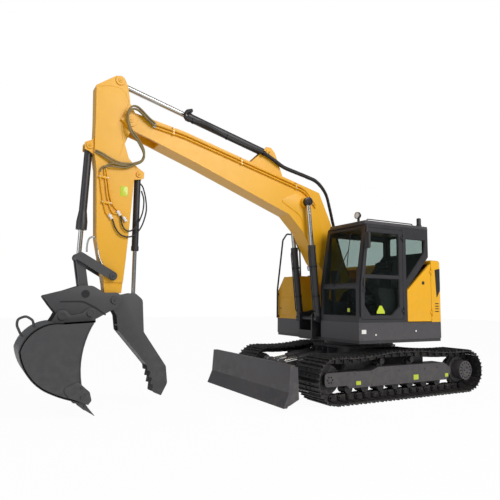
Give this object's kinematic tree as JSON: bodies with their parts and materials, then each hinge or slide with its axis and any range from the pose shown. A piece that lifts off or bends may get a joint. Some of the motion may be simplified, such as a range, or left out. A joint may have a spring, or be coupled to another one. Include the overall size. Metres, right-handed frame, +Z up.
{
  "type": "crawler excavator",
  "caption": "Short-tail crawler excavator with cab, bent boom, arm, quick coupler, bucket, hydraulic thumb and front dozer blade.",
  "frame": {"origin": "centre of the whole machine's footprint box, on the ground", "axes": "+X forward to the bucket, +Y to the machine's left, +Z up"},
  "size_m": [7.6164, 2.6, 4.919],
  "materials": {
    "yellow_paint": "gloss enamel",
    "grey_paint": "satin enamel",
    "tool_paint": "satin enamel",
    "track_steel": "dull",
    "rod_chrome": "polished",
    "pane": "tinted",
    "trim_plastic": "matt",
    "seat_fabric": "woven",
    "engine_iron": "painted"
  },
  "bodies": {
    "chassis": {"lower_frame": "grey_paint", "tow_eye": "grey_paint", "slew_ring": "grey_paint", "track_frame_left": "grey_paint", "track_frame_right": "grey_paint", "track_left": "track_steel", "track_right": "track_steel", "rollers_left": "track_steel", "rollers_right": "track_steel", "idler_left": "track_steel", "idler_right": "track_steel", "final_drive_left": "grey_paint", "final_drive_right": "grey_paint"},
    "blade": {"blade": "grey_paint"},
    "blade_barrels": {"blade_cylinder_barrels": "grey_paint"},
    "blade_rods": {"blade_cylinder_rods": "rod_chrome"},
    "house": {"revolving_frame": "grey_paint", "skirt": "grey_paint", "counterweight": "grey_paint", "engine_housing": "yellow_paint", "engine_block": "engine_iron", "tank_housing": "yellow_paint", "guard_rail": "grey_paint", "cab_frame": "grey_paint", "cab_roof": "grey_paint", "cab_glass": "pane", "seat": "seat_fabric", "console": "trim_plastic"},
    "cab_door": {"cab_door": "grey_paint", "door_glass": "pane"},
    "service_door_left": {"service_door_left": "yellow_paint"},
    "service_door_right": {"service_door_right": "yellow_paint"},
    "engine_hood": {"engine_hood": "yellow_paint"},
    "boom": {"boom": "yellow_paint"},
    "boom_barrels": {"boom_cylinder_barrels": "grey_paint"},
    "boom_rods": {"boom_cylinder_rods": "rod_chrome"},
    "arm": {"arm": "yellow_paint"},
    "arm_barrel": {"arm_cylinder_barrel": "grey_paint"},
    "arm_rod": {"arm_cylinder_rod": "rod_chrome"},
    "bucket": {"coupler": "tool_paint", "bucket": "tool_paint"},
    "bucket_barrel": {"bucket_cylinder_barrel": "grey_paint"},
    "bucket_rod": {"bucket_cylinder_rod": "rod_chrome"},
    "side_links": {"side_links": "tool_paint"},
    "h_link": {"h_link": "tool_paint"},
    "thumb": {"thumb": "tool_paint"},
    "thumb_barrel": {"thumb_cylinder_barrel": "grey_paint"},
    "thumb_rod": {"thumb_cylinder_rod": "rod_chrome"}
  },
  "joints": [
    {"name": "slew", "type": "hinge", "parent": "chassis", "child": "house", "pos_m": [-1.88484, 0, 0.905], "axis": [0, 0, 1], "continuous": true},
    {"name": "boom_lift", "type": "hinge", "parent": "house", "child": "boom", "pos_m": [-1.73684, -0.1, 1.651], "axis": [0, -1, 0], "range_deg": [-43, 38]},
    {"name": "arm_curl", "type": "hinge", "parent": "boom", "child": "arm", "pos_m": [2.42616, -0.1, 4.247], "axis": [0, 1, 0], "range_deg": [-85, 24]},
    {"name": "bucket_curl", "type": "hinge", "parent": "arm", "child": "bucket", "pos_m": [2.56116, -0.1, 1.55], "axis": [0, 1, 0], "range_deg": [-28, 36]},
    {"name": "thumb_open", "type": "hinge", "parent": "arm", "child": "thumb", "pos_m": [2.56116, -0.1, 1.55], "axis": [0, 1, 0], "range_deg": [-33, 42]},
    {"name": "blade_lift", "type": "hinge", "parent": "chassis", "child": "blade", "pos_m": [-0.93484, 0, 0.45], "axis": [0, -1, 0], "range_deg": [-18, 20]},
    {"name": "cab_door_open", "type": "hinge", "parent": "house", "child": "cab_door", "pos_m": [-1.94684, 1.249, 1.42], "axis": [0, 0, -1], "range_deg": [-165, 0]},
    {"name": "service_door_left_open", "type": "hinge", "parent": "house", "child": "service_door_left", "pos_m": [-2.60684, 1.249, 1.4], "axis": [0, 0, 1], "range_deg": [0, 100]},
    {"name": "service_door_right_open", "type": "hinge", "parent": "house", "child": "service_door_right", "pos_m": [-2.49684, -1.249, 1.4], "axis": [0, 0, -1], "range_deg": [0, 100]},
    {"name": "hood_open", "type": "hinge", "parent": "house", "child": "engine_hood", "pos_m": [-2.59084, -0.35, 2.253], "axis": [0, 1, 0], "range_deg": [0, 50]},
    {"name": "boom_cylinder_tilt", "type": "hinge", "parent": "house", "child": "boom_barrels", "pos_m": [-0.96584, -0.1, 1.266], "axis": [0, -1, 0], "range_deg": [-38.31, 33.98]},
    {"name": "boom_cylinder_reach", "type": "slide", "parent": "boom_barrels", "child": "boom_rods", "axis": [0.1025, 0, 0.9947], "range_m": [-0.6037, 0.5341]},
    {"name": "arm_cylinder_tilt", "type": "hinge", "parent": "boom", "child": "arm_barrel", "pos_m": [-0.04384, -0.1, 4.155], "axis": [0, -1, 0], "range_deg": [-1.06, 1.02]},
    {"name": "arm_cylinder_reach", "type": "slide", "parent": "arm_barrel", "child": "arm_rod", "axis": [0.967, 0, 0.2547], "range_m": [-0.849, 0.2433]},
    {"name": "thumb_cylinder_tilt", "type": "hinge", "parent": "arm", "child": "thumb_barrel", "pos_m": [2.24416, -0.1, 3.456], "axis": [0, -1, 0], "range_deg": [-2, 2.27]},
    {"name": "thumb_cylinder_reach", "type": "slide", "parent": "thumb_barrel", "child": "thumb_rod", "axis": [0.0032, 0, -1], "range_m": [-0.2156, 0.1705]},
    {"name": "blade_cylinder_tilt", "type": "hinge", "parent": "chassis", "child": "blade_barrels", "pos_m": [-1.18484, 0, 0.7], "axis": [0, -1, 0], "range_deg": [-14.01, 15.45]},
    {"name": "blade_cylinder_reach", "type": "slide", "parent": "blade_barrels", "child": "blade_rods", "axis": [0.9903, 0, -0.1386], "range_m": [-0.0802, 0.0727]},
    {"name": "side_link_swing", "type": "hinge", "parent": "arm", "child": "side_links", "pos_m": [2.60216, -0.1, 1.894], "axis": [0, -1, 0], "range_deg": [-35.09, 27.52]},
    {"name": "h_link_swing", "type": "hinge", "parent": "bucket", "child": "h_link", "pos_m": [2.97216, -0.1, 1.631], "axis": [0, -1, 0], "range_deg": [-19.86, 25.25]},
    {"name": "bucket_cylinder_tilt", "type": "hinge", "parent": "arm", "child": "bucket_barrel", "pos_m": [2.98716, -0.1, 3.791], "axis": [0, -1, 0], "range_deg": [-4.24, 5.17]},
    {"name": "bucket_cylinder_reach", "type": "slide", "parent": "bucket_barrel", "child": "bucket_rod", "axis": [0.0433, 0, -0.9991], "range_m": [-0.2207, 0.2823]}
  ],
  "couplings": [
    {"joint": "boom_cylinder_tilt", "follows": "boom_lift", "ratio": 0.8678},
    {"joint": "boom_cylinder_reach", "follows": "boom_lift", "m_per_rad": 0.7978},
    {"joint": "arm_cylinder_tilt", "follows": "arm_curl", "ratio": 0.0007},
    {"joint": "arm_cylinder_reach", "follows": "arm_curl", "m_per_rad": 0.5689},
    {"joint": "thumb_cylinder_tilt", "follows": "thumb_open", "ratio": 0.0303},
    {"joint": "thumb_cylinder_reach", "follows": "thumb_open", "m_per_rad": -0.2873},
    {"joint": "blade_cylinder_tilt", "follows": "blade_lift", "ratio": 0.7226},
    {"joint": "blade_cylinder_reach", "follows": "blade_lift", "m_per_rad": -0.2154},
    {"joint": "side_link_swing", "follows": "bucket_curl", "ratio": -0.947},
    {"joint": "h_link_swing", "follows": "bucket_curl", "ratio": 0.6735},
    {"joint": "bucket_cylinder_tilt", "follows": "bucket_curl", "ratio": 0.1157},
    {"joint": "bucket_cylinder_reach", "follows": "bucket_curl", "m_per_rad": 0.4414}
  ]
}
